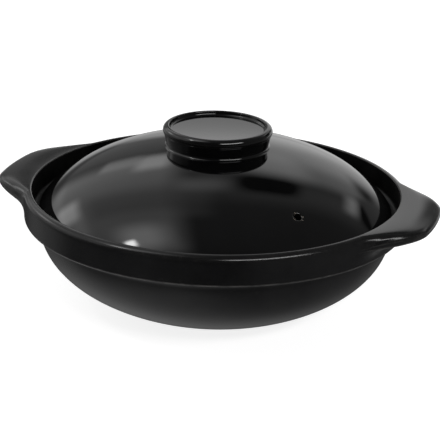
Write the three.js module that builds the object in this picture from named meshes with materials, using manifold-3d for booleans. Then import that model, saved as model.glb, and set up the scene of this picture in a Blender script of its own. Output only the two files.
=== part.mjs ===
// A covered stoneware casserole: a wide shallow bowl with an inner ledge, an upright collar and two
// ear lugs, and a domed lid with a steam vent and a ring knob. All of it is black glazed clay.
// Millimetres, +Z up. The origin lies on the table, under the centre of the foot, and the lugs lie along X.

import * as THREE from 'three';
import { mergeVertices } from 'three/addons/utils/BufferGeometryUtils.js';
import Module from 'manifold-3d';

const wasm = await Module();
wasm.setup();

// Driving dimensions of the pot
const rimHeight = 82;           // rim above the table
const collarRadius = 135;       // outside of the upright collar
const collarDepth = 19.3;       // rim down to the collar's lower edge
const collarOverhang = 9.8;     // how far the collar stands out over the bowl
const collarEdgeRound = 1.6;
const undersideDrop = 2.8;      // fall of the collar's underside towards the bowl
const undersideFillet = 3;
const rimWall = 5.5;
const rimEdgeRound = 1.8;
const footRadius = 57;
const footWidth = 10;           // standing ring, outside to the recess
const footRecess = 1.5;
const bowlSweep = THREE.MathUtils.degToRad(58);   // share of a full quarter curve, collar to foot
const bowlWidthPower = 1.235;   // how the bowl draws in: 1 would be an ellipse
const bowlDepthPower = 0.87;
const bowlWall = 8;

// Driving dimensions of the lid's seat inside the rim
const galleryDepth = 15.5;      // rim down to the ledge
const galleryLean = 2.5;        // the wall above the ledge leans in by this much
const galleryFillet = 2;
const ledgeLap = 4;             // ledge that shows inside the lid's foot
const ledgeThickness = 4;
const ledgeEdgeRound = 1.5;
const corbelDepth = 7;          // height of the slope that carries the ledge
const jointInset = 1.5;         // how far inside the collar it is joined to the bowl
const lidClearance = 2.4;       // from the lid's edge to the wall around it
const seatGap = 0.3;            // between pieces that touch

// Driving dimensions of the lugs
const lugReach = 23.2;          // beyond the collar
const lugTipWidth = 21;         // measured round the collar
const lugRootWidth = 141;
const lugThickness = 8.6;
const lugTilt = THREE.MathUtils.degToRad(2.1);  // the lug's top leaves the rim level and rises outwards
const lugEdgeRound = 3.2;

// Driving dimensions of the lid
const lidWall = 6.5;
const lidFootRound = 1.6;
const lidEdgeHeight = 3.3;      // widest level above the lid's foot
const lidEdgeRound = 3;
const domeRise = 46.4;          // widest level up to the crown
const domeCrownShare = 0.714;   // share of the rise that falls as a parabola, the rest at the shoulder
const domeShoulderPower = 7;    // how late and how fast the rest falls
const ventDiameter = 5.3;
const ventInset = 25.3;         // from the lid's edge
const ventAngle = THREE.MathUtils.degToRad(-39.5);

// Driving dimensions of the knob
const knobRadius = 38.35;
const knobTaper = 2.9;          // the knob is narrower at the dome by this much
const knobRise = 14.2;          // from the dome to the knob's crest
const knobBeadRound = 3.6;
const knobBeadTurn = THREE.MathUtils.degToRad(40);  // the bead rolls under its widest level this far
const knobRingWidth = 4.4;      // outside to the recess
const knobRecess = 3;
const knobRecessLean = 1.4;
const knobRecessRound = 1.3;
const knobRecessFillet = 1.4;

// Facets
const potSegments = 64;
const knobSegments = 48;
const bowlSteps = 11;
const domeSteps = 11;
const domeSpacing = 0.6;        // below 1, the dome's rings lie closer together near its edge
const arcSteps = 3;
const lugSteps = 26;
const ventSegments = 16;
const slopeStep = 0.5;          // to each side of where the dome's slope is taken
const weldDistance = 1e-4;
const roundShare = 0.49;        // most of a straight stretch that the round at one end may use

// Sizes that follow from the ones above
const galleryRadius = collarRadius - rimWall - galleryLean;
const galleryHeight = rimHeight - galleryDepth;
const bowlRadius = collarRadius - collarOverhang;
const bowlTop = rimHeight - collarDepth;
const jointRadius = Math.max(galleryRadius, bowlRadius) + jointInset;
const lidRadius = galleryRadius - lidClearance;
const lidFootRadius = lidRadius - lidWall;
const ledgeRadius = lidFootRadius - ledgeLap;
const knobBaseRadius = knobRadius - knobTaper;

// A path of straight stretches whose corners are rounded by arcs. A corner is [radius, height, round],
// and a round is cut down where the stretches beside it are too short for it.
function roundedPath(corners) {
  const path = [];
  corners.forEach(([x, y, round = 0], index) => {
    const corner = new THREE.Vector2(x, y);
    if (round === 0 || index === 0 || index === corners.length - 1) {
      path.push(corner);
      return;
    }
    const before = new THREE.Vector2(...corners[index - 1]).sub(corner);
    const after = new THREE.Vector2(...corners[index + 1]).sub(corner);
    const halfAngle = Math.acos(before.dot(after) / (before.length() * after.length())) / 2;
    const room = roundShare * Math.min(before.length(), after.length());
    const tangent = Math.min(round / Math.tan(halfAngle), room);
    const radius = tangent * Math.tan(halfAngle);
    before.normalize();
    after.normalize();
    const toCentre = before.clone().add(after).setLength(radius / Math.sin(halfAngle));
    const centre = corner.clone().add(toCentre);
    const start = corner.clone().addScaledVector(before, tangent).sub(centre);
    const end = corner.clone().addScaledVector(after, tangent).sub(centre);
    const turn = Math.atan2(start.cross(end), start.dot(end));
    for (let step = 0; step <= arcSteps; step += 1) {
      const spoke = start.clone().rotateAround(new THREE.Vector2(), (turn * step) / arcSteps);
      path.push(spoke.add(centre));
    }
  });
  return path;
}

// A copy of a smooth curve, moved sideways to the left of its running direction
function offsetCurve(points, distance) {
  return points.map((point, index) => {
    const next = points[Math.min(index + 1, points.length - 1)];
    const last = points[Math.max(index - 1, 0)];
    const along = next.clone().sub(last).normalize();
    return new THREE.Vector2(point.x - along.y * distance, point.y + along.x * distance);
  });
}

const asCorners = (points) => points.map(({ x, y }) => [x, y]);

// Only positions, with shared corners merged and collapsed triangles left out
function welded(geometry) {
  geometry.deleteAttribute('normal');
  geometry.deleteAttribute('uv');
  const merged = mergeVertices(geometry, weldDistance);
  const corners = merged.index.array;
  const kept = [];
  for (let i = 0; i < corners.length; i += 3) {
    const [a, b, c] = corners.subarray(i, i + 3);
    if (a !== b && b !== c && c !== a) {
      kept.push(a, b, c);
    }
  }
  merged.setIndex(kept);
  return merged;
}

// A profile that runs from the axis, round the outside and back to the axis, turned about +Z
function turned(profile, segments) {
  const lathe = new THREE.LatheGeometry(profile, segments);
  lathe.rotateX(Math.PI / 2);
  return welded(lathe);
}

function toSolid(geometry) {
  return new wasm.Manifold(new wasm.Mesh({
    numProp: 3,
    vertProperties: new Float32Array(geometry.attributes.position.array),
    triVerts: new Uint32Array(geometry.index.array),
  }));
}

function toGeometry(solid) {
  const mesh = solid.getMesh();
  const geometry = new THREE.BufferGeometry();
  geometry.setAttribute('position', new THREE.BufferAttribute(mesh.vertProperties, 3));
  geometry.setIndex(new THREE.BufferAttribute(mesh.triVerts, 1));
  return geometry;
}

// Bowl outside, from the collar down to the foot
function bowlCurve() {
  const points = [];
  for (let step = 0; step <= bowlSteps; step += 1) {
    const angle = (bowlSweep * step) / bowlSteps;
    const drawnIn = (1 - Math.cos(angle) ** bowlWidthPower) / (1 - Math.cos(bowlSweep) ** bowlWidthPower);
    const sunk = (Math.sin(angle) / Math.sin(bowlSweep)) ** bowlDepthPower;
    points.push(new THREE.Vector2(bowlRadius - (bowlRadius - footRadius) * drawnIn, bowlTop * (1 - sunk)));
  }
  return points;
}

// The collar's outside, from its lower edge up to the rim, grown by a gap for a piece that seats on it
function collarCorners(gap) {
  return [
    [collarRadius + gap, bowlTop - gap, collarEdgeRound],
    [collarRadius + gap, rimHeight + gap, rimEdgeRound + gap],
  ];
}

// Bowl and collar as one turned shape
function potClay() {
  const outside = bowlCurve();
  const inside = offsetCurve(outside, -bowlWall);
  const corbelFoot = galleryHeight - ledgeThickness - corbelDepth;
  const innerWall = inside.filter(({ y }) => y < corbelFoot);
  const profile = roundedPath([
    [0, footRecess],
    [footRadius - footWidth - footRecess, footRecess],
    [footRadius - footWidth, 0],
    ...asCorners(outside.filter(({ y }) => y < bowlTop - undersideDrop).reverse()),
    [bowlRadius, bowlTop - undersideDrop, undersideFillet],
    ...collarCorners(0),
    [collarRadius - rimWall, rimHeight, rimEdgeRound],
    [galleryRadius, galleryHeight, galleryFillet],
    [ledgeRadius, galleryHeight, ledgeEdgeRound],
    [ledgeRadius, galleryHeight - ledgeThickness, ledgeEdgeRound],
    ...asCorners(innerWall),
    [0, innerWall.at(-1).y],
  ]);
  return toSolid(turned(profile, potSegments));
}

// The room taken by the collar's clay. Its inner side is the joint with the bowl, which starts in the
// middle of the gallery's fillet, slants into the clay and then drops to the collar's underside.
function collarRoom(gap) {
  const slant = jointRadius - galleryRadius;
  const foot = [jointRadius - gap, 0];
  const bend = [jointRadius - gap, galleryHeight - slant - gap * (Math.SQRT2 - 1)];
  const start = [bend[0] - slant - galleryFillet, bend[1] + slant + galleryFillet];
  const outer = collarRadius + collarOverhang;
  const top = rimHeight + collarDepth;
  const profile = [foot, [outer, 0], [outer, top], [start[0], top], start, bend, foot];
  return toSolid(turned(profile.map((corner) => new THREE.Vector2(...corner)), potSegments));
}

function potBowl() {
  return toGeometry(potClay().subtract(collarRoom(seatGap)));
}

function potCollar() {
  return toGeometry(potClay().intersect(collarRoom(0)));
}

// Ear lug on the +X side. In plan it swells out of the collar in one wave, with a broad tip.
function lug() {
  const tipAngle = lugTipWidth / 2 / collarRadius;
  const rootAngle = lugRootWidth / 2 / collarRadius;
  const outline = new THREE.Shape();
  outline.moveTo(0, 0);
  for (let step = 0; step <= lugSteps; step += 1) {
    const angle = rootAngle * ((2 * step) / lugSteps - 1);
    const fall = Math.max(0, (Math.abs(angle) - tipAngle) / (rootAngle - tipAngle));
    const radius = collarRadius + (lugReach * (1 + Math.cos(Math.PI * fall))) / 2;
    outline.lineTo(radius * Math.cos(angle), radius * Math.sin(angle));
  }
  const slab = new THREE.ExtrudeGeometry(outline, {
    depth: lugThickness - 2 * lugEdgeRound,
    bevelThickness: lugEdgeRound,
    bevelSize: lugEdgeRound,
    bevelOffset: -lugEdgeRound,
    bevelSegments: arcSteps,
  });
  slab.translate(-collarRadius, 0, lugEdgeRound - lugThickness);
  slab.rotateY(-lugTilt);
  slab.translate(collarRadius, 0, rimHeight);
  const collar = roundedPath([[0, bowlTop - seatGap], ...collarCorners(seatGap), [0, rimHeight + seatGap]]);
  return toGeometry(toSolid(welded(slab)).subtract(toSolid(turned(collar, potSegments))));
}

// Dome outside in the lid's own frame, whose zero height is the lid's foot
function domePoint(radius) {
  const share = radius / lidRadius;
  const fallen = domeCrownShare * share ** 2 + (1 - domeCrownShare) * share ** domeShoulderPower;
  return new THREE.Vector2(radius, lidEdgeHeight + domeRise * (1 - fallen));
}

// From the lid's edge up to its crown
function domeCurve() {
  const points = [];
  for (let step = domeSteps; step >= 0; step -= 1) {
    points.push(domePoint(lidRadius * (step / domeSteps) ** domeSpacing));
  }
  return points;
}

// The vent is bored square to the dome
function ventBore() {
  const mouth = domePoint(lidRadius - ventInset);
  const along = domePoint(mouth.x - slopeStep).sub(domePoint(mouth.x + slopeStep));
  const throughWall = 4 * lidWall;
  const bore = new THREE.CylinderGeometry(ventDiameter / 2, ventDiameter / 2, throughWall, ventSegments);
  bore.rotateX(Math.PI / 2);
  bore.rotateY(Math.atan2(along.y, -along.x));
  bore.translate(mouth.x, 0, mouth.y);
  bore.rotateZ(ventAngle);
  return toSolid(welded(bore));
}

function lidDome() {
  const outside = domeCurve();
  const inside = offsetCurve(outside, lidWall).filter(({ y }) => y > lidEdgeHeight);
  const profile = roundedPath([
    [0, inside.at(-1).y],
    ...asCorners(inside.slice(0, -1).reverse()),
    [lidFootRadius, 0, lidFootRound],
    [lidRadius, 0, lidFootRound],
    [lidRadius, lidEdgeHeight, lidEdgeRound],
    ...asCorners(outside.slice(1)),
  ]);
  return toGeometry(toSolid(turned(profile, potSegments)).subtract(ventBore()));
}

// Ring knob: seated on the dome, tapering down to it, with a rolled bead round a recessed top
function lidKnob() {
  const seat = domeCurve().filter(({ x }) => x < knobBaseRadius).reverse();
  const base = domePoint(knobBaseRadius).y + seatGap;
  const crest = base + knobRise;
  const bead = [];
  const beadStart = -knobBeadTurn;
  const beadSteps = 2 * arcSteps;
  for (let step = 0; step <= beadSteps; step += 1) {
    const angle = beadStart + ((Math.PI / 2 - beadStart) * step) / beadSteps;
    bead.push([
      knobRadius - knobBeadRound * (1 - Math.cos(angle)),
      crest - knobBeadRound * (1 - Math.sin(angle)),
    ]);
  }
  const profile = roundedPath([
    ...seat.map(({ x, y }) => [x, y + seatGap]),
    [knobBaseRadius, base],
    ...bead,
    [knobRadius - knobRingWidth, crest, knobRecessRound],
    [knobRadius - knobRingWidth - knobRecessLean, crest - knobRecess, knobRecessFillet],
    [0, crest - knobRecess],
  ]);
  return turned(profile, knobSegments);
}

// Satin black glaze on the pot, a deeper and glossier one on the lid
const satinGlaze = () => new THREE.MeshStandardMaterial({ color: 0x1e1e1f, roughness: 0.42, metalness: 0 });
const glossGlaze = () => new THREE.MeshStandardMaterial({ color: 0x0e0e0f, roughness: 0.12, metalness: 0 });

function piece(name, geometry, material) {
  geometry.computeVertexNormals();
  const mesh = new THREE.Mesh(geometry, material);
  mesh.name = name;
  return mesh;
}

const lugShape = lug();
const lugRight = piece('lug_right', lugShape, satinGlaze());
const lugLeft = piece('lug_left', lugShape, satinGlaze());
lugLeft.rotation.z = Math.PI;

const pot = new THREE.Group();
pot.add(piece('pot_bowl', potBowl(), satinGlaze()), piece('pot_collar', potCollar(), satinGlaze()));
pot.add(lugRight, lugLeft);

const lid = new THREE.Group();
lid.position.z = galleryHeight + seatGap;
lid.add(piece('lid_dome', lidDome(), glossGlaze()), piece('lid_knob', lidKnob(), glossGlaze()));

const casserole = new THREE.Group();
casserole.add(pot, lid);

export default casserole;
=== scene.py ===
"""Looks of a covered stoneware casserole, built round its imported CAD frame.

The pot and the lid are each one fired and glazed piece, so each is one mesh that replaces the CAD solids
it was joined from. Sizes are in millimetres and turned into metres where vertices are made.
"""

import math

import bmesh
import bpy
from mathutils import Matrix, Vector, noise


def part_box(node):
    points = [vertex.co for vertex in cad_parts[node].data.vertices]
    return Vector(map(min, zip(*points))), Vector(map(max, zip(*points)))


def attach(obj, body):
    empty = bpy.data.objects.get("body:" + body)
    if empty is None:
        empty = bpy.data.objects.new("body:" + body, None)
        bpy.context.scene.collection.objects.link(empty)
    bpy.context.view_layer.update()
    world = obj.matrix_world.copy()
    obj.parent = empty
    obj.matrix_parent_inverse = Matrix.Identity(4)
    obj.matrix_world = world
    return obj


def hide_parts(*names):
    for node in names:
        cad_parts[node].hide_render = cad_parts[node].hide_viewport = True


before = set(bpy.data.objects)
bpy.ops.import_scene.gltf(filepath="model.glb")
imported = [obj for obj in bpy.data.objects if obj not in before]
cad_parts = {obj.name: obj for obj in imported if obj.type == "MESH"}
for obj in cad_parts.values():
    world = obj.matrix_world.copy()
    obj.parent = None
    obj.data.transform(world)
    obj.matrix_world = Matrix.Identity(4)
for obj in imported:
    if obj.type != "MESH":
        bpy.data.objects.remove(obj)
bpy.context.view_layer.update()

MM = 0.001


def node_box(node):
    """Lowest and highest corner of a CAD node, in millimetres."""
    return [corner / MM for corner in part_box(node)]


collar_high = node_box("pot_collar")[1]
dome_low, dome_high = node_box("lid_dome")
knob_high = node_box("lid_knob")[1]

# Pot
RIM_HEIGHT = collar_high.z
COLLAR_RADIUS = collar_high.y
COLLAR_DEPTH = 19.3
COLLAR_OVERHANG = 9.8
COLLAR_EDGE_ROUND = 1.6
UNDERSIDE_DROP = 2.8
UNDERSIDE_FILLET = 3
RIM_WALL = 5.5
RIM_CROWN = 1.2
RIM_CREST = RIM_HEIGHT + RIM_CROWN
RIM_ROUND = 1.2
RIM_OUTER_ROUND = 5.2
FOOT_RADIUS = 57
FOOT_WIDTH = 10
FOOT_RECESS = 1.5
FOOT_ROUND = 1
BOWL_SWEEP = math.radians(58)
BOWL_WIDTH_POWER = 1.235
BOWL_DEPTH_POWER = 0.87
BOWL_WALL = 8
BOWL_TOP = RIM_HEIGHT - COLLAR_DEPTH
BOWL_RADIUS = COLLAR_RADIUS - COLLAR_OVERHANG

# The lid's seat inside the rim
GALLERY_DEPTH = 15.5
GALLERY_FILLET = 3
LEDGE_LAP = 4
LEDGE_THICKNESS = 4
LEDGE_ROUND = 1.5
CORBEL_DEPTH = 7
CORBEL_BLEND = 4
GALLERY_RADIUS = COLLAR_RADIUS - RIM_WALL
GALLERY_HEIGHT = RIM_HEIGHT - GALLERY_DEPTH

# Lugs. Outwards, the top runs nearly level to the brow, falls to the toe and rolls over the nose down to
# the belly, each at its share of the reach. Towards a lug's sides the reach shrinks, and the lug fades into
# the collar.
LUG_REACH = 23.6
LUG_RISE = 0.4
LUG_THICKNESS = 8.4
LUG_LIFT = 1.2
LUG_STEP = 2.1
LUG_NOSE_DROP = 2.6
LUG_BROW = 0.5
LUG_TOE = 0.86
LUG_BELLY = 0.95
LUG_TIP_WIDTH = 37
LUG_ROOT_WIDTH = 141
LUG_TIP_TURN = LUG_TIP_WIDTH / 2 / COLLAR_RADIUS
LUG_ROOT_TURN = LUG_ROOT_WIDTH / 2 / COLLAR_RADIUS
LUG_BROW_ROUND = 5
LUG_TOE_ROUND = 2
LUG_NOSE_ROUND = 2.4
LUG_BELLY_ROUND = 3.2
LUG_ROOT_FILLET = 4
LUG_ROOT_FALL = 1.5
LUG_FADE_FALL = 5
LUG_FADE_DROP = 5.8
LUG_LEAST_SWELL = 0.01

# Lid
LID_RADIUS = dome_high.y
LID_FOOT = dome_low.z
LID_WALL = 6.5
LID_FOOT_ROUND = 1.6
LID_EDGE_DEPTH = 3.3
LID_EDGE = LID_FOOT + LID_EDGE_DEPTH
LID_EDGE_ROUND = 1.2
DOME_RISE = dome_high.z - LID_EDGE
DOME_CROWN_SHARE = 0.714
DOME_SHOULDER_POWER = 7
LID_FOOT_RADIUS = LID_RADIUS - LID_WALL
SLIP_RADIUS = LID_RADIUS - LID_FOOT_ROUND
VENT_WIDTH = 5.3
VENT_RADIUS = VENT_WIDTH / 2
VENT_LIP = 1.2
VENT_BARE = 0.36
VENT_LIP_BEND = 0.5 / VENT_LIP
VENT_INSET = 25.3
VENT_DISTANCE = LID_RADIUS - VENT_INSET
VENT_ANGLE = math.radians(-39.5)

# Knob
KNOB_RADIUS = knob_high.y
KNOB_CREST = knob_high.z
KNOB_OVERHANG = 2.9
KNOB_BASE_RADIUS = KNOB_RADIUS - KNOB_OVERHANG
KNOB_BASE_FILLET = 2
KNOB_BEAD = 3.6
KNOB_BEAD_TURN = math.radians(40)
KNOB_BEAD_BLEND = 1.2
KNOB_RING_WIDTH = 4.4
KNOB_RECESS = 3
KNOB_RECESS_LEAN = 0.6
KNOB_RECESS_ROUND = 1.3
KNOB_RECESS_FILLET = 1.4

# Mesh density
POT_STEPS = 480
LID_STEPS = 288
BOWL_STEPS = 44
DOME_STEPS = 48
CROWN_STEPS = 10
ARC_STEPS = 6
BEAD_STEPS = 12
VENT_CELLS = 4
VENT_BLEND_STEPS = 3
VENT_LIP_STEPS = 4
ROUND_SHARE = 0.98
SLOPE_STEP = 0.1

# A place this near to a face counts as on it, and this far past an edge as still inside it
ON_FACE = 0.3
PAST_EDGE = 0.1

# Hand-made unevenness, always inwards so that the outside size holds
WAVE_DEPTH = 0.16
WAVE_LENGTH = 60
STILL_RADIUS = 1
POT_SEED = 3
LID_SEED = 11


def rounded(corners):
    """A section through corners (radius, height, round).

    A round is an arc that starts that far from its corner, or nearer where two rounds share a short side.
    """
    path = []
    for index, (radius, height, reach) in enumerate(corners):
        corner = Vector((radius, height))
        if not reach:
            path.append(corner)
            continue
        before = Vector(corners[index - 1][:2]) - corner
        after = Vector(corners[index + 1][:2]) - corner
        room = 1
        for side, neighbour in ((before, corners[index - 1]), (after, corners[index + 1])):
            room = min(room, ROUND_SHARE * side.length / (reach + neighbour[2]))
        reach *= room
        start = corner + before.normalized() * reach
        end = corner + after.normalized() * reach
        weight = math.sin(before.angle(after) / 2)
        for step in range(ARC_STEPS + 1):
            share = step / ARC_STEPS
            a = (1 - share) ** 2
            b = 2 * weight * share * (1 - share)
            c = share ** 2
            path.append((start * a + corner * b + end * c) / (a + b + c))
    return path


def sideways(points, distance):
    """A copy of a smooth curve, moved to the left of its running direction."""
    moved = []
    for index, point in enumerate(points):
        along = points[min(index + 1, len(points) - 1)] - points[max(index - 1, 0)]
        along.normalize()
        moved.append(point + Vector((-along.y, along.x)) * distance)
    return moved


def plain(points):
    """Corners without rounds."""
    return [(point.x, point.y, 0) for point in points]


def bowl_curve():
    """Outside of the bowl, from the foot up to the collar."""
    points = []
    for step in range(BOWL_STEPS + 1):
        angle = BOWL_SWEEP * (1 - step / BOWL_STEPS)
        width = math.cos(angle) ** BOWL_WIDTH_POWER
        drawn_in = (1 - width) / (1 - math.cos(BOWL_SWEEP) ** BOWL_WIDTH_POWER)
        sunk = (math.sin(angle) / math.sin(BOWL_SWEEP)) ** BOWL_DEPTH_POWER
        radius = BOWL_RADIUS - (BOWL_RADIUS - FOOT_RADIUS) * drawn_in
        points.append(Vector((radius, BOWL_TOP * (1 - sunk))))
    return points


def lug_reach(angle):
    """How far the pot stands out beyond the collar in that direction: one wave round each lug's axis."""
    turn = abs(math.remainder(angle, math.pi))
    fall = min(max((turn - LUG_TIP_TURN) / (LUG_ROOT_TURN - LUG_TIP_TURN), 0), 1)
    return LUG_REACH * (1 + math.cos(math.pi * fall)) / 2


def pot_section(angle):
    """Half section of the pot in that direction, from under the foot, round the outside and in again."""
    outside = bowl_curve()
    inside = sideways(outside, BOWL_WALL)
    reach = lug_reach(angle)
    share = reach / LUG_REACH
    lug_top = RIM_CREST + LUG_RISE * share
    lug_under = RIM_HEIGHT - LUG_THICKNESS + LUG_LIFT * share
    lug_root = lug_under - LUG_ROOT_FALL - LUG_FADE_FALL * (1 - share)
    lug_toe = lug_top - LUG_STEP * share - LUG_FADE_DROP * (1 - share) ** 2
    lug_nose = lug_toe - LUG_NOSE_DROP
    brow_round = RIM_OUTER_ROUND + (LUG_BROW_ROUND - RIM_OUTER_ROUND) * share
    swell = max(share, LUG_LEAST_SWELL)
    ledge_radius = LID_FOOT_RADIUS - LEDGE_LAP
    corbel_foot = GALLERY_HEIGHT - LEDGE_THICKNESS - CORBEL_DEPTH
    wall = [point for point in reversed(inside) if point.y < corbel_foot]
    foot_inside = FOOT_RADIUS - FOOT_WIDTH
    underside = BOWL_TOP - UNDERSIDE_DROP
    return rounded([
        (0, FOOT_RECESS, 0),
        (foot_inside - FOOT_RECESS, FOOT_RECESS, FOOT_ROUND),
        (foot_inside, 0, FOOT_ROUND),
        (FOOT_RADIUS, 0, FOOT_ROUND),
        *plain(point for point in outside[1:] if point.y < underside - UNDERSIDE_FILLET),
        (BOWL_RADIUS, underside, UNDERSIDE_FILLET),
        (COLLAR_RADIUS, BOWL_TOP, COLLAR_EDGE_ROUND),
        (COLLAR_RADIUS, lug_root, LUG_ROOT_FILLET),
        (COLLAR_RADIUS + reach * LUG_BELLY, lug_under, LUG_BELLY_ROUND * swell),
        (COLLAR_RADIUS + reach, lug_nose, LUG_NOSE_ROUND * swell),
        (COLLAR_RADIUS + reach * LUG_TOE, lug_toe, LUG_TOE_ROUND * swell),
        (COLLAR_RADIUS + reach * LUG_BROW, lug_top, brow_round),
        (COLLAR_RADIUS - RIM_WALL, RIM_CREST, RIM_ROUND),
        (GALLERY_RADIUS, GALLERY_HEIGHT, GALLERY_FILLET),
        (SLIP_RADIUS, GALLERY_HEIGHT, 0),
        (ledge_radius, GALLERY_HEIGHT, LEDGE_ROUND),
        (ledge_radius, GALLERY_HEIGHT - LEDGE_THICKNESS, LEDGE_ROUND),
        (wall[0].x, wall[0].y, CORBEL_BLEND),
        *plain(wall[1:]),
        (0, wall[-1].y, 0),
    ])


def pot_bare(radius, height):
    """1 where the pot is left unglazed: under its foot, and on the ledge that carries the lid."""
    under_foot = height < FOOT_RECESS + PAST_EDGE and radius < FOOT_RADIUS
    on_ledge = abs(height - GALLERY_HEIGHT) < ON_FACE and radius < SLIP_RADIUS + PAST_EDGE
    return 1 if under_foot or on_ledge else 0


def pot_seat(radius, height):
    """Whether a place lies beside the lid's edge or on the wall round it, which get black slip, not glaze:
    painted shade that keeps the gap between lid and rim dark.
    """
    outside_lid = SLIP_RADIUS < radius < GALLERY_RADIUS + PAST_EDGE
    return outside_lid and GALLERY_HEIGHT - PAST_EDGE < height < RIM_CREST - RIM_ROUND / 2


def lid_bare(radius, height):
    """1 where the lid is left unglazed: on the ring that it stands on."""
    return 1 if height < LID_FOOT + ON_FACE else 0


def lid_seat(radius, height):
    """Whether a place lies on the lid's upright edge, which gets black slip instead of glaze: painted shade
    that keeps the gap round the lid dark.
    """
    return radius > LID_RADIUS - LID_EDGE_ROUND / 2 and LID_FOOT + ON_FACE < height < LID_EDGE


def dome_height(radius):
    """Height of the dome's outside: a round crown that bends down more sharply at the shoulder."""
    share = radius / LID_RADIUS
    fallen = DOME_CROWN_SHARE * share ** 2 + (1 - DOME_CROWN_SHARE) * share ** DOME_SHOULDER_POWER
    return LID_EDGE + DOME_RISE * (1 - fallen)


def dome_normal(radius):
    """Square to the dome's outside, in a section."""
    fall = dome_height(radius - SLOPE_STEP) - dome_height(radius + SLOPE_STEP)
    return Vector((fall, 2 * SLOPE_STEP)).normalized()


def under_dome(radius):
    """The point of the lid's inside that lies square under a place on its outside."""
    return Vector((radius, dome_height(radius))) - dome_normal(radius) * LID_WALL


# The dome's rings run from its edge up to the knob's fillet, and on to the crown inside
KNOB_JOINT = KNOB_BASE_RADIUS + KNOB_BASE_FILLET
DOME_REACH = LID_RADIUS - KNOB_JOINT
DOME_RINGS = [LID_RADIUS - DOME_REACH * step / DOME_STEPS for step in range(DOME_STEPS + 1)]
CROWN_RINGS = [KNOB_JOINT * (1 - step / CROWN_STEPS) for step in range(1, CROWN_STEPS)]
UNDER_RINGS = [radius for radius in DOME_RINGS + CROWN_RINGS if under_dome(radius).y > LID_EDGE]
LID_FOOT_CORNERS = 3


def knob_corners():
    """From the dome's joint up the knob's side, over the bead and down into the recess."""
    corners = [(KNOB_BASE_RADIUS, dome_height(KNOB_BASE_RADIUS), KNOB_BASE_FILLET)]
    for step in range(BEAD_STEPS + 1):
        angle = -KNOB_BEAD_TURN + (math.pi / 2 + KNOB_BEAD_TURN) * step / BEAD_STEPS
        radius = KNOB_RADIUS - KNOB_BEAD * (1 - math.cos(angle))
        height = KNOB_CREST - KNOB_BEAD * (1 - math.sin(angle))
        corners.append((radius, height, KNOB_BEAD_BLEND if step == 0 else 0))
    rim = KNOB_RADIUS - KNOB_RING_WIDTH
    floor = KNOB_CREST - KNOB_RECESS
    corners.append((rim, KNOB_CREST, KNOB_RECESS_ROUND))
    corners.append((rim - KNOB_RECESS_LEAN, floor, KNOB_RECESS_FILLET))
    corners.append((0, floor, 0))
    return corners


def lid_section():
    """Half section of the lid, from under the crown, down the inside, round the foot and over the top."""
    return rounded([
        (0, LID_EDGE + DOME_RISE - LID_WALL, 0),
        *plain(under_dome(radius) for radius in reversed(UNDER_RINGS)),
        (LID_FOOT_RADIUS, LID_FOOT, LID_FOOT_ROUND),
        (LID_RADIUS, LID_FOOT, LID_FOOT_ROUND),
        (LID_RADIUS, LID_EDGE, LID_EDGE_ROUND),
        *plain(Vector((radius, dome_height(radius))) for radius in DOME_RINGS[1:]),
        *knob_corners(),
    ])


def under_index(radius):
    """Where a ring of the lid's inside lies in its section."""
    return len(UNDER_RINGS) - UNDER_RINGS.index(radius)


def outside_index(radius):
    """Where a ring of the lid's outside lies in its section, after the inside and the foot's corners."""
    return len(UNDER_RINGS) + LID_FOOT_CORNERS * (ARC_STEPS + 1) + DOME_RINGS.index(radius)


def uneven(point, seed):
    """The point pulled in a little towards the axis, as hand-finished clay is."""
    wave = noise.noise(point / WAVE_LENGTH + Vector((seed, 0, 0)))
    pull = WAVE_DEPTH * (1 + wave) / 2
    radius = math.hypot(point.x, point.y)
    if radius < STILL_RADIUS:
        return point
    shrink = 1 - pull * min(1, radius / WAVE_LENGTH) / radius
    return Vector((point.x * shrink, point.y * shrink, point.z))


def bend(section, index):
    """How sharply the section turns outwards at a point, per millimetre."""
    here = section[index]
    before = here - section[max(index - 1, 0)]
    after = section[min(index + 1, len(section) - 1)] - here
    if before.length == 0 or after.length == 0:
        return 0
    turn = math.atan2(before.cross(after), before.dot(after))
    return 2 * turn / (before.length + after.length)


def revolve(bm, sections, angles, bare_at, seed):
    """Makes a solid's skin from its half sections and returns its vertices as columns, one per direction."""
    edge = bm.verts.layers.float.new("edge")
    bare = bm.verts.layers.float.new("bare")
    columns = []
    count = len(sections[0])
    poles = {}
    for end in (0, count - 1):
        poles[end] = bm.verts.new((0, 0, sections[0][end].y * MM))
        poles[end][bare] = bare_at(0, sections[0][end].y)
    for section, angle in zip(sections, angles):
        column = []
        for index, place in enumerate(section):
            if index in poles:
                column.append(poles[index])
                continue
            point = Vector((place.x * math.cos(angle), place.x * math.sin(angle), place.y))
            vert = bm.verts.new(uneven(point, seed) * MM)
            vert[edge] = bend(section, index)
            vert[bare] = bare_at(place.x, place.y)
            column.append(vert)
        columns.append(column)
    for step, column in enumerate(columns):
        following = columns[(step + 1) % len(columns)]
        for index in range(count - 1):
            corners = [column[index], following[index], following[index + 1], column[index + 1]]
            bm.faces.new(dict.fromkeys(corners))
    return columns


def square_loop(half):
    """Steps round the border of a square of cells, as (across, along)."""
    span = range(-half, half)
    loop = [(step, -half) for step in span]
    loop += [(half, step) for step in span]
    loop += [(-step, half) for step in span]
    loop += [(-half, -step) for step in span]
    return loop


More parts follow.
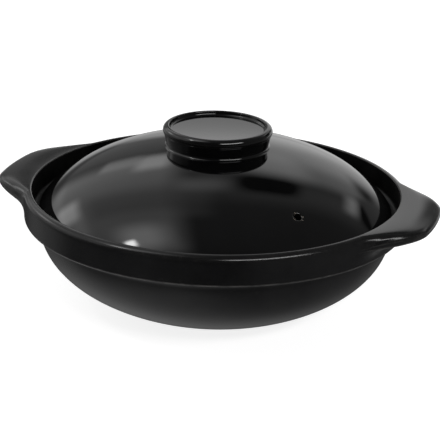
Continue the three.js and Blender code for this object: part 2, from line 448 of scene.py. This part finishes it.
def bore_vent(bm, columns, seed):
    """Replaces a square of the dome's cells by a round bore with soft lips, outside and inside."""
    middle = min(range(len(DOME_RINGS)), key=lambda ring: abs(DOME_RINGS[ring] - VENT_DISTANCE))
    border = square_loop(VENT_CELLS)
    inner = range(1 - VENT_CELLS, VENT_CELLS)
    within = [(across, along) for across in inner for along in inner]
    loops = []
    for index_of in (outside_index, under_index):
        loops.append([columns[across][index_of(DOME_RINGS[middle + along])] for across, along in border])
        dropped = [columns[across][index_of(DOME_RINGS[middle + along])] for across, along in within]
        bmesh.ops.delete(bm, geom=dropped, context="VERTS")

    outward = Vector((math.cos(VENT_ANGLE), math.sin(VENT_ANGLE), 0))
    round_axis = Vector((-outward.y, outward.x, 0))
    slope = dome_normal(VENT_DISTANCE)
    downhill = outward * slope.y - Vector((0, 0, slope.x))
    centre = outward * VENT_DISTANCE + Vector((0, 0, dome_height(VENT_DISTANCE)))

    def on_lid(reach, turn, depth):
        """A place at a distance and turn from the vent's axis, on the dome or that deep under it."""
        place = centre + downhill * (reach * math.cos(turn)) + round_axis * (reach * math.sin(turn))
        radius = math.hypot(place.x, place.y)
        place.z = dome_height(radius)
        sunk = dome_normal(radius)
        inwards = Vector((place.x, place.y, 0)) / radius * sunk.x + Vector((0, 0, sunk.y))
        return place - inwards * depth

    mouth = VENT_RADIUS + VENT_LIP
    reaches = []
    for step in range(1, VENT_BLEND_STEPS + 1):
        reaches.append((step / VENT_BLEND_STEPS, mouth, 0))
    for step in range(1, VENT_LIP_STEPS + 1):
        turn = math.pi / 2 * step / VENT_LIP_STEPS
        reaches.append((1, mouth - VENT_LIP * math.sin(turn), VENT_LIP * (1 - math.cos(turn))))
    mirrored = [(share, reach, LID_WALL - depth) for share, reach, depth in reversed(reaches)]

    edge = bm.verts.layers.float["edge"]
    bare = bm.verts.layers.float["bare"]
    places = []
    for vert in loops[0]:
        offset = vert.co / MM - centre
        across = offset.dot(round_axis)
        along = offset.dot(downhill)
        places.append((math.hypot(across, along), math.atan2(across, along)))
    rings = [loops[0]]
    for share, reach, depth in reaches + mirrored:
        ring = []
        for border_reach, turn in places:
            point = on_lid(border_reach * (1 - share) + reach * share, turn, depth)
            vert = bm.verts.new(uneven(point, seed) * MM)
            vert[edge] = 0 if share < 1 else VENT_LIP_BEND
            vert[bare] = VENT_BARE if share == 1 and depth < VENT_LIP else 0
            ring.append(vert)
        rings.append(ring)
    rings.append(loops[1])
    for ring, following in zip(rings, rings[1:]):
        for step in range(len(border)):
            after = (step + 1) % len(border)
            bm.faces.new((ring[step], ring[after], following[after], following[step]))


def piece(name, bm, body, nodes, materials, in_seat):
    """Makes a skin an object that rides on its body, in the first material, or the second in the seat."""
    bmesh.ops.recalc_face_normals(bm, faces=bm.faces)
    for face in bm.faces:
        middle = face.calc_center_median() / MM
        face.material_index = 1 if in_seat(math.hypot(middle.x, middle.y), middle.z) else 0
    mesh = bpy.data.meshes.new(name)
    bm.to_mesh(mesh)
    bm.free()
    mesh.shade_smooth()
    for material in materials:
        mesh.materials.append(material)
    made = bpy.data.objects.new(name, mesh)
    bpy.context.scene.collection.objects.link(made)
    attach(made, body)
    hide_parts(*nodes)


def make_pot(materials):
    """The pot, one skin with its collar and its lugs."""
    bm = bmesh.new()
    angles = [2 * math.pi * step / POT_STEPS for step in range(POT_STEPS)]
    revolve(bm, [pot_section(angle) for angle in angles], angles, pot_bare, POT_SEED)
    nodes = ["pot_bowl", "pot_collar", "lug_left", "lug_right"]
    piece("pot", bm, "pot", nodes, materials, pot_seat)


def make_lid(materials):
    """The lid, one skin with its knob, and bored through at the vent."""
    bm = bmesh.new()
    angles = [VENT_ANGLE + 2 * math.pi * step / LID_STEPS for step in range(LID_STEPS)]
    section = lid_section()
    columns = revolve(bm, [section] * LID_STEPS, angles, lid_bare, LID_SEED)
    bore_vent(bm, columns, LID_SEED)
    piece("lid", bm, "lid", ["lid_dome", "lid_knob"], materials, lid_seat)


def new_material(name):
    """A material with its node tree and its shader."""
    material = bpy.data.materials.new(name)
    material.use_nodes = True
    return material, material.node_tree, material.node_tree.nodes["Principled BSDF"]


def link(tree, value, socket):
    """Sets a socket to a number or colour, or links another node's output to it."""
    if isinstance(value, bpy.types.NodeSocket):
        tree.links.new(value, socket)
    else:
        socket.default_value = value


def math_node(tree, operation, *values):
    """Works with numbers or other nodes' outputs."""
    made = tree.nodes.new("ShaderNodeMath")
    made.operation = operation
    for socket, value in zip(made.inputs, values):
        link(tree, value, socket)
    return made.outputs[0]


def noise_node(tree, coords, size, detail):
    """Cloudy noise from 0 to 1 whose patches are about that many millimetres wide."""
    made = tree.nodes.new("ShaderNodeTexNoise")
    made.inputs["Scale"].default_value = 1 / (size * MM)
    made.inputs["Detail"].default_value = detail
    link(tree, coords, made.inputs["Vector"])
    return made.outputs["Fac"]


def ramp_node(tree, value, low, high, low_result=0.0, high_result=1.0):
    """Runs smoothly from one result to the other while the value goes from low to high."""
    made = tree.nodes.new("ShaderNodeMapRange")
    made.interpolation_type = "SMOOTHSTEP"
    link(tree, value, made.inputs["Value"])
    made.inputs["From Min"].default_value = low
    made.inputs["From Max"].default_value = high
    made.inputs["To Min"].default_value = low_result
    made.inputs["To Max"].default_value = high_result
    return made.outputs["Result"]


def mix_node(tree, share, low, high):
    """A colour from low to high while the share goes from 0 to 1."""
    made = tree.nodes.new("ShaderNodeMix")
    made.data_type = "RGBA"
    link(tree, share, made.inputs["Factor"])
    for socket, color in ((made.inputs["A"], low), (made.inputs["B"], high)):
        link(tree, (*color, 1) if isinstance(color, tuple) else color, socket)
    return made.outputs["Result"]


def attribute_node(tree, name):
    """A number that the mesh's vertices carry."""
    made = tree.nodes.new("ShaderNodeAttribute")
    made.attribute_name = name
    return made.outputs["Fac"]


def bump_node(tree, height, shader):
    """Gives the shader a relief whose height is in metres."""
    made = tree.nodes.new("ShaderNodeBump")
    made.inputs["Distance"].default_value = 1
    link(tree, height, made.inputs["Height"])
    link(tree, made.outputs["Normal"], shader.inputs["Normal"])


# Cloudy patterns: patch size in millimetres and detail, and their middle value
CLOUDS = (38, 4)
SPECKS = (1.9, 2)
RIPPLE = (17, 1)
WEAR = (6, 3)
CLAY_GRAIN = (0.7, 3)
SLIP_CLOUDS = (15, 4)
PEEL_DETAIL = 2
PATTERN_MIDDLE = 0.5

# Ramps from no effect to full effect, with the results at both ends where they aren't 0 and 1
CLOUD_RAMP = (0.3, 0.7)
GLOSS_RAMP = (0.25, 0.75)
SPECK_RAMP = (0.66, 0.72, 0.0, 0.15)
WEAR_RAMP = (0.35, 0.65, 0.3, 1.0)
BARE_RAMP = (0.42, 0.58)
EDGE_RAMP = (0.1, 0.6)

# Unglazed clay
CLAY_DARK = (0.105, 0.088, 0.072)
CLAY_LIGHT = (0.2, 0.172, 0.142)
CLAY_ROUGHNESS = 0.85
CLAY_DEPTH = 0.05


def glaze(name, deep, pale, thin, sheen, roughness, peel_size, peel_depth, ripple_depth):
    """Black glaze over stoneware: cloudy, thin over edges, dimpled like orange peel, in places wiped off."""
    material, tree, shader = new_material(name)
    coords = tree.nodes.new("ShaderNodeTexCoord").outputs["Object"]
    clouds = noise_node(tree, coords, *CLOUDS)
    specks = noise_node(tree, coords, *SPECKS)
    peel = noise_node(tree, coords, peel_size, PEEL_DETAIL)
    ripple = noise_node(tree, coords, *RIPPLE)
    grain = noise_node(tree, coords, *CLAY_GRAIN)

    edge = ramp_node(tree, attribute_node(tree, "edge"), *EDGE_RAMP)
    wear = ramp_node(tree, noise_node(tree, coords, *WEAR), *WEAR_RAMP)
    worn = math_node(tree, "MULTIPLY", edge, wear)
    fray = math_node(tree, "SUBTRACT", specks, PATTERN_MIDDLE)
    bare = ramp_node(tree, math_node(tree, "ADD", attribute_node(tree, "bare"), fray), *BARE_RAMP)

    color = mix_node(tree, ramp_node(tree, clouds, *CLOUD_RAMP), deep, pale)
    color = mix_node(tree, ramp_node(tree, specks, *SPECK_RAMP), color, thin)
    color = mix_node(tree, worn, color, thin)
    clay = mix_node(tree, ramp_node(tree, grain, *CLOUD_RAMP), CLAY_DARK, CLAY_LIGHT)
    link(tree, mix_node(tree, bare, color, clay), shader.inputs["Base Color"])

    gloss = ramp_node(tree, clouds, *GLOSS_RAMP, *roughness)
    clay_share = math_node(tree, "MULTIPLY", bare, CLAY_ROUGHNESS)
    glaze_share = math_node(tree, "MULTIPLY", math_node(tree, "SUBTRACT", 1.0, bare), gloss)
    link(tree, math_node(tree, "ADD", glaze_share, clay_share), shader.inputs["Roughness"])
    shader.inputs["Specular IOR Level"].default_value = sheen

    height = math_node(tree, "MULTIPLY", peel, peel_depth * MM)
    height = math_node(tree, "MULTIPLY_ADD", ripple, ripple_depth * MM, height)
    rough_height = math_node(tree, "MULTIPLY", math_node(tree, "MULTIPLY", grain, bare), CLAY_DEPTH * MM)
    bump_node(tree, math_node(tree, "ADD", height, rough_height), shader)
    return material


# Black slip in the lid's seat, a dull finish whose black is painted shade for the gap between lid and rim
SEAT_SHADE_DEEP = (0.001, 0.001, 0.001)
SEAT_SHADE_PALE = (0.003, 0.0028, 0.0026)
SLIP_SHEEN = 0.15
SLIP_ROUGHNESS = (0.3, 0.5)
SLIP_DEPTH = 0.01


def slip(name):
    """Thin, dull black slip on the lid's seat. Its black and its low sheen are painted shade that keeps the
    gap between lid and rim dark.
    """
    material, tree, shader = new_material(name)
    coords = tree.nodes.new("ShaderNodeTexCoord").outputs["Object"]
    clouds = noise_node(tree, coords, *SLIP_CLOUDS)
    grain = noise_node(tree, coords, *CLAY_GRAIN)
    color = mix_node(tree, ramp_node(tree, clouds, *CLOUD_RAMP), SEAT_SHADE_DEEP, SEAT_SHADE_PALE)
    link(tree, color, shader.inputs["Base Color"])
    link(tree, ramp_node(tree, clouds, *GLOSS_RAMP, *SLIP_ROUGHNESS), shader.inputs["Roughness"])
    shader.inputs["Specular IOR Level"].default_value = SLIP_SHEEN
    bump_node(tree, math_node(tree, "MULTIPLY", grain, SLIP_DEPTH * MM), shader)
    return material


# Camera, matched to the photograph
CAMERA_AZIMUTH = math.radians(17.54)
CAMERA_ELEVATION = math.radians(19.34)
CAMERA_DISTANCE = 1120
CAMERA_ROLL = math.radians(1.6)
CAMERA_YAW = math.radians(-0.17)
CAMERA_PITCH = math.radians(-1.165)
SENSOR_WIDTH = 36
IMAGE_WIDTH = 440
FOCAL_PIXELS = 1586


def add_camera():
    """Sees the pot as the photograph does."""
    back = Vector((
        math.sin(CAMERA_AZIMUTH) * math.cos(CAMERA_ELEVATION),
        -math.cos(CAMERA_AZIMUTH) * math.cos(CAMERA_ELEVATION),
        math.sin(CAMERA_ELEVATION),
    ))
    right = (-back).cross(Vector((0, 0, 1))).normalized()
    up = back.cross(right)
    aim = Matrix.Rotation(CAMERA_YAW, 3, up) @ Matrix.Rotation(CAMERA_PITCH, 3, right)
    facing = aim @ Matrix((right, up, back)).transposed()
    turned = facing @ Matrix.Rotation(CAMERA_ROLL, 3, "Z")
    data = bpy.data.cameras.new("camera")
    data.sensor_width = SENSOR_WIDTH
    data.lens = SENSOR_WIDTH * FOCAL_PIXELS / IMAGE_WIDTH
    camera = bpy.data.objects.new("camera", data)
    bpy.context.scene.collection.objects.link(camera)
    camera.matrix_world = turned.to_4x4()
    camera.location = (Vector((0, 0, RIM_HEIGHT)) + back * CAMERA_DISTANCE) * MM
    bpy.context.scene.camera = camera


WHITE = (1, 1, 1, 1)
BLACK = (0, 0, 0, 1)

# The floor's half width, in metres, and its finish
FLOOR_SIZE = 4
FLOOR_COLOR = (0.5, 0.5, 0.5, 1)
FLOOR_ROUGHNESS = 0.9
FLOOR_GLOW = 0.85


def add_floor():
    """A pale floor, lit from below as a light table is. The glaze mirrors the studio instead of it."""
    mesh = bpy.data.meshes.new("floor")
    bm = bmesh.new()
    bmesh.ops.create_grid(bm, x_segments=1, y_segments=1, size=FLOOR_SIZE)
    bm.to_mesh(mesh)
    bm.free()
    floor = bpy.data.objects.new("floor", mesh)
    bpy.context.scene.collection.objects.link(floor)
    material, _, shader = new_material("pale_floor")
    shader.inputs["Base Color"].default_value = FLOOR_COLOR
    shader.inputs["Roughness"].default_value = FLOOR_ROUGHNESS
    shader.inputs["Emission Color"].default_value = WHITE
    shader.inputs["Emission Strength"].default_value = FLOOR_GLOW
    mesh.materials.append(material)
    floor.visible_glossy = False


# A dark card close behind the right lug, as the camera sees it. Its sides are this far to the right of the
# pot's axis, it stands this far behind the axis, and its edges are this high. It glows faintly. Its left and
# upper borders fade in up to these shares of its width and height.
CARD_LEFT = 152
CARD_RIGHT = 288
CARD_BACK = 60
CARD_LOW = 90
CARD_HIGH = 145
CARD_GLOW = 0.16
CARD_SOFT_LEFT = 0.18
CARD_SOFT_TOP = 0.7


def add_card():
    """Shades the right lug's tip. It shows only in the glaze, as a card held just outside a picture does."""
    right = Vector((math.cos(CAMERA_AZIMUTH), math.sin(CAMERA_AZIMUTH), 0))
    back = Vector((-right.y, right.x, 0))
    corners = []
    for height in (CARD_LOW, CARD_HIGH):
        for across in (CARD_LEFT, CARD_RIGHT):
            corners.append((right * across + back * CARD_BACK + Vector((0, 0, height))) * MM)
    mesh = bpy.data.meshes.new("card")
    mesh.from_pydata(corners, [], [(0, 1, 3, 2)])
    card = bpy.data.objects.new("card", mesh)
    bpy.context.scene.collection.objects.link(card)
    material, tree, shader = new_material("dark_card")
    shader.inputs["Base Color"].default_value = BLACK
    shader.inputs["Roughness"].default_value = 1
    shader.inputs["Emission Color"].default_value = WHITE
    shader.inputs["Emission Strength"].default_value = CARD_GLOW
    place = tree.nodes.new("ShaderNodeSeparateXYZ")
    link(tree, tree.nodes.new("ShaderNodeTexCoord").outputs["Generated"], place.inputs["Vector"])
    left = ramp_node(tree, place.outputs["X"], 0, CARD_SOFT_LEFT)
    top = ramp_node(tree, place.outputs["Z"], 1, CARD_SOFT_TOP)
    link(tree, math_node(tree, "MULTIPLY", left, top), shader.inputs["Alpha"])
    mesh.materials.append(material)
    card.visible_camera = False
    card.visible_diffuse = False
    card.visible_shadow = False


# The studio as the glaze mirrors it, seen from the pot with the camera in front. Its plain light grows from
# front to back over these leans to the back, in radians, and no panel takes it below the darkest. At the
# horizon it passes into the floor's light over this share of the direction that points up.
FRONT_LIGHT = 0.03
BACK_LIGHT = 0.12
BACK_RAMP = (-0.9, -0.2)
DARKEST = 0.02
HORIZON_SOFTNESS = 0.05

# Soft panels, brighter or darker than the plain light: lean to the left of straight up, lean to the back,
# half width, half depth and softness of the border, all in degrees, and brightness
PANELS = {
    "left_panel": (42, 19, 30, 40, 6, 0.64),
    "left_dim": (30, 28, 18, 9, 6, -0.24),
    "left_edge": (7, 26, 5, 14, 5, 0.15),
    "left_blob": (4, 38, 7, 4, 4, 0.3),
    "left_low": (86, 26, 18, 30, 8, 0.4),
    "lamp_glow": (30, -4, 10, 10, 8, 1.5),
    "lamp": (37, -7, 2.6, 2.6, 1.6, 16),
    "left_spot": (60.5, 33.5, 7, 7, 4, 1.5),
    "left_spot_low": (56, 19, 4, 8, 4, 0.35),
    "backdrop": (-46, 68, 52, 20, 5, 0.65),
    "backdrop_glow": (-19, 57, 8, 8, 5, 0.22),
    "right_dim": (-45, 54, 13, 6, 5, -0.22),
    "horizon": (-45, 84, 70, 9, 5, 0.15),
    "left_horizon": (60, 86, 45, 5, 3, 0.5),
    "back_left": (21, 56.5, 5.5, 5, 3, 0.85),
    "back_left_far": (35, 59.5, 8, 3.5, 2.5, 0.5),
    "left_back": (46, 72, 27, 9, 5, 0.12),
    "right_spot": (-52, 41, 4, 6, 4, 0.85),
    "right_haze": (-25, 36, 35, 8, 8, 0.12),
    "right_shade": (-67, 48, 7.5, 11, 7, -0.55),
    "far_right_shade": (-74, 60, 16, 5, 5, -0.4),
    "right_gap": (-16, 40, 9, 5, 4.5, -0.3),
}

# The lamp strip in front: turn to the right of the camera, height, half width, half height and softness of
# the border, all in degrees, and brightness
STRIP = (34, 37, 26, 4, 4, 13)

# What the glaze mirrors below the horizon: the floor near the pot, further off and behind. The ramps run
# over the share of the mirrored direction that points to the right, to the back or up.
NEAR_FLOOR_LEFT = 0.525
NEAR_FLOOR_RIGHT = 0.175
NEAR_RAMP = (-0.7, 0.5)
FAR_FLOOR = 0.04
FAR_FLOOR_RIGHT = 0.1
FAR_RIGHT_RAMP = (0.1, 0.55)
FAR_FLOOR_LEFT = 0.04
FAR_LEFT_RAMP = (-0.3, -0.9)
CORNER_FLOOR = 0.17
CORNER_LEFT_RAMP = (-0.4, -0.8)
CORNER_BACK_RAMP = (0.0, 0.35)
STEEP_RAMP = (-0.3, -0.9)
BEHIND_FLOOR_LEFT = 0.5
BEHIND_FLOOR_RIGHT = 0.85
BEHIND_RIGHT_RAMP = (-0.4, 0.4)
BEHIND_BACK_RAMP = (0.2, 0.8)
BEHIND_HEIGHT_RAMP = (-0.27, -0.15)


def band(tree, angle, middle, half, soft):
    """1 where the angle lies inside a band, 0 outside it, with a soft border. The band is in degrees."""
    distance = math_node(tree, "ABSOLUTE", math_node(tree, "SUBTRACT", angle, math.radians(middle)))
    return ramp_node(tree, distance, math.radians(half + soft), math.radians(half - soft))


def add_panel(tree, total, across, along, brightness):
    """Adds a panel that lies where two bands cross."""
    inside = math_node(tree, "MULTIPLY", across, along)
    return math_node(tree, "MULTIPLY_ADD", inside, brightness, total)


def mirrored_direction(tree):
    """A direction's shares to the right, to the back and up, as the camera sees them."""
    turn = tree.nodes.new("ShaderNodeVectorRotate")
    turn.rotation_type = "Z_AXIS"
    turn.inputs["Angle"].default_value = -CAMERA_AZIMUTH
    link(tree, tree.nodes.new("ShaderNodeTexCoord").outputs["Generated"], turn.inputs["Vector"])
    parts = tree.nodes.new("ShaderNodeSeparateXYZ")
    link(tree, turn.outputs["Vector"], parts.inputs["Vector"])
    return parts.outputs["X"], parts.outputs["Y"], parts.outputs["Z"]


def studio_light(tree, right, back, height, above):
    """Brightness above the horizon: plain light, the panels and the lamp strip."""
    to_left = math_node(tree, "ARCTAN2", math_node(tree, "MULTIPLY", right, -1.0), height)
    to_back = math_node(tree, "ARCSINE", back)
    to_right = math_node(tree, "ARCTAN2", right, math_node(tree, "MULTIPLY", back, -1.0))
    rise = math_node(tree, "ARCSINE", height)
    total = math_node(tree, "MULTIPLY", above, ramp_node(tree, to_back, *BACK_RAMP, FRONT_LIGHT, BACK_LIGHT))
    for lean_left, lean_back, half_width, half_depth, soft, brightness in PANELS.values():
        across = band(tree, to_left, lean_left, half_width, soft)
        along = band(tree, to_back, lean_back, half_depth, soft)
        total = add_panel(tree, total, across, along, brightness)
    turn_right, strip_rise, half_width, half_height, soft, brightness = STRIP
    across = band(tree, to_right, turn_right, half_width, soft)
    along = band(tree, rise, strip_rise, half_height, soft)
    total = add_panel(tree, total, across, along, brightness)
    return math_node(tree, "MAXIMUM", total, DARKEST)


def floor_light(tree, right, back, height):
    """Brightness below the horizon."""
    far = math_node(tree, "ADD", ramp_node(tree, right, *FAR_RIGHT_RAMP, 0.0, FAR_FLOOR_RIGHT), FAR_FLOOR)
    far = math_node(tree, "ADD", ramp_node(tree, right, *FAR_LEFT_RAMP, 0.0, FAR_FLOOR_LEFT), far)
    corner_left = ramp_node(tree, right, *CORNER_LEFT_RAMP)
    corner_back = ramp_node(tree, back, *CORNER_BACK_RAMP)
    far = add_panel(tree, far, corner_left, corner_back, CORNER_FLOOR)
    near = ramp_node(tree, right, *NEAR_RAMP, NEAR_FLOOR_LEFT, NEAR_FLOOR_RIGHT)
    steep = ramp_node(tree, height, *STEEP_RAMP)
    gentle = math_node(tree, "SUBTRACT", 1.0, steep)
    below = math_node(tree, "MULTIPLY_ADD", steep, near, math_node(tree, "MULTIPLY", gentle, far))
    behind = ramp_node(tree, right, *BEHIND_RIGHT_RAMP, BEHIND_FLOOR_LEFT, BEHIND_FLOOR_RIGHT)
    behind = math_node(tree, "MULTIPLY", behind, ramp_node(tree, back, *BEHIND_BACK_RAMP))
    behind = math_node(tree, "MULTIPLY", behind, ramp_node(tree, height, *BEHIND_HEIGHT_RAMP))
    return math_node(tree, "MAXIMUM", below, behind)


def light_world():
    """Lights the scene from all round, and gives the glaze something to mirror."""
    world = bpy.data.worlds.new("studio")
    bpy.context.scene.world = world
    world.use_nodes = True
    tree = world.node_tree
    right, back, height = mirrored_direction(tree)
    above = ramp_node(tree, height, -HORIZON_SOFTNESS, HORIZON_SOFTNESS)
    under = math_node(tree, "SUBTRACT", 1.0, above)
    studio = studio_light(tree, right, back, height, above)
    floor = math_node(tree, "MULTIPLY", floor_light(tree, right, back, height), under)
    background = tree.nodes["Background"]
    link(tree, math_node(tree, "MULTIPLY_ADD", studio, above, floor), background.inputs["Strength"])
    background.inputs["Color"].default_value = WHITE


bpy.context.scene.view_settings.view_transform = "Standard"
add_camera()
add_floor()
add_card()
light_world()
# The seat's black slip is painted shade for the gap between lid and rim
shaded_seat_slip = slip("shaded_seat_slip")
pot_glaze = glaze(
    "pot_glaze",
    deep=(0.003, 0.003, 0.0032),
    pale=(0.006, 0.006, 0.0062),
    thin=(0.03, 0.029, 0.028),
    sheen=0.36,
    roughness=(0.15, 0.21),
    peel_size=1.3,
    peel_depth=0.018,
    ripple_depth=0.03,
)
lid_glaze = glaze(
    "lid_glaze",
    deep=(0.0012, 0.0012, 0.0013),
    pale=(0.0024, 0.0024, 0.0026),
    thin=(0.006, 0.0055, 0.005),
    sheen=0.5,
    roughness=(0.04, 0.075),
    peel_size=2.2,
    peel_depth=0.003,
    ripple_depth=0.012,
)
make_pot([pot_glaze, shaded_seat_slip])
make_lid([lid_glaze, shaded_seat_slip])
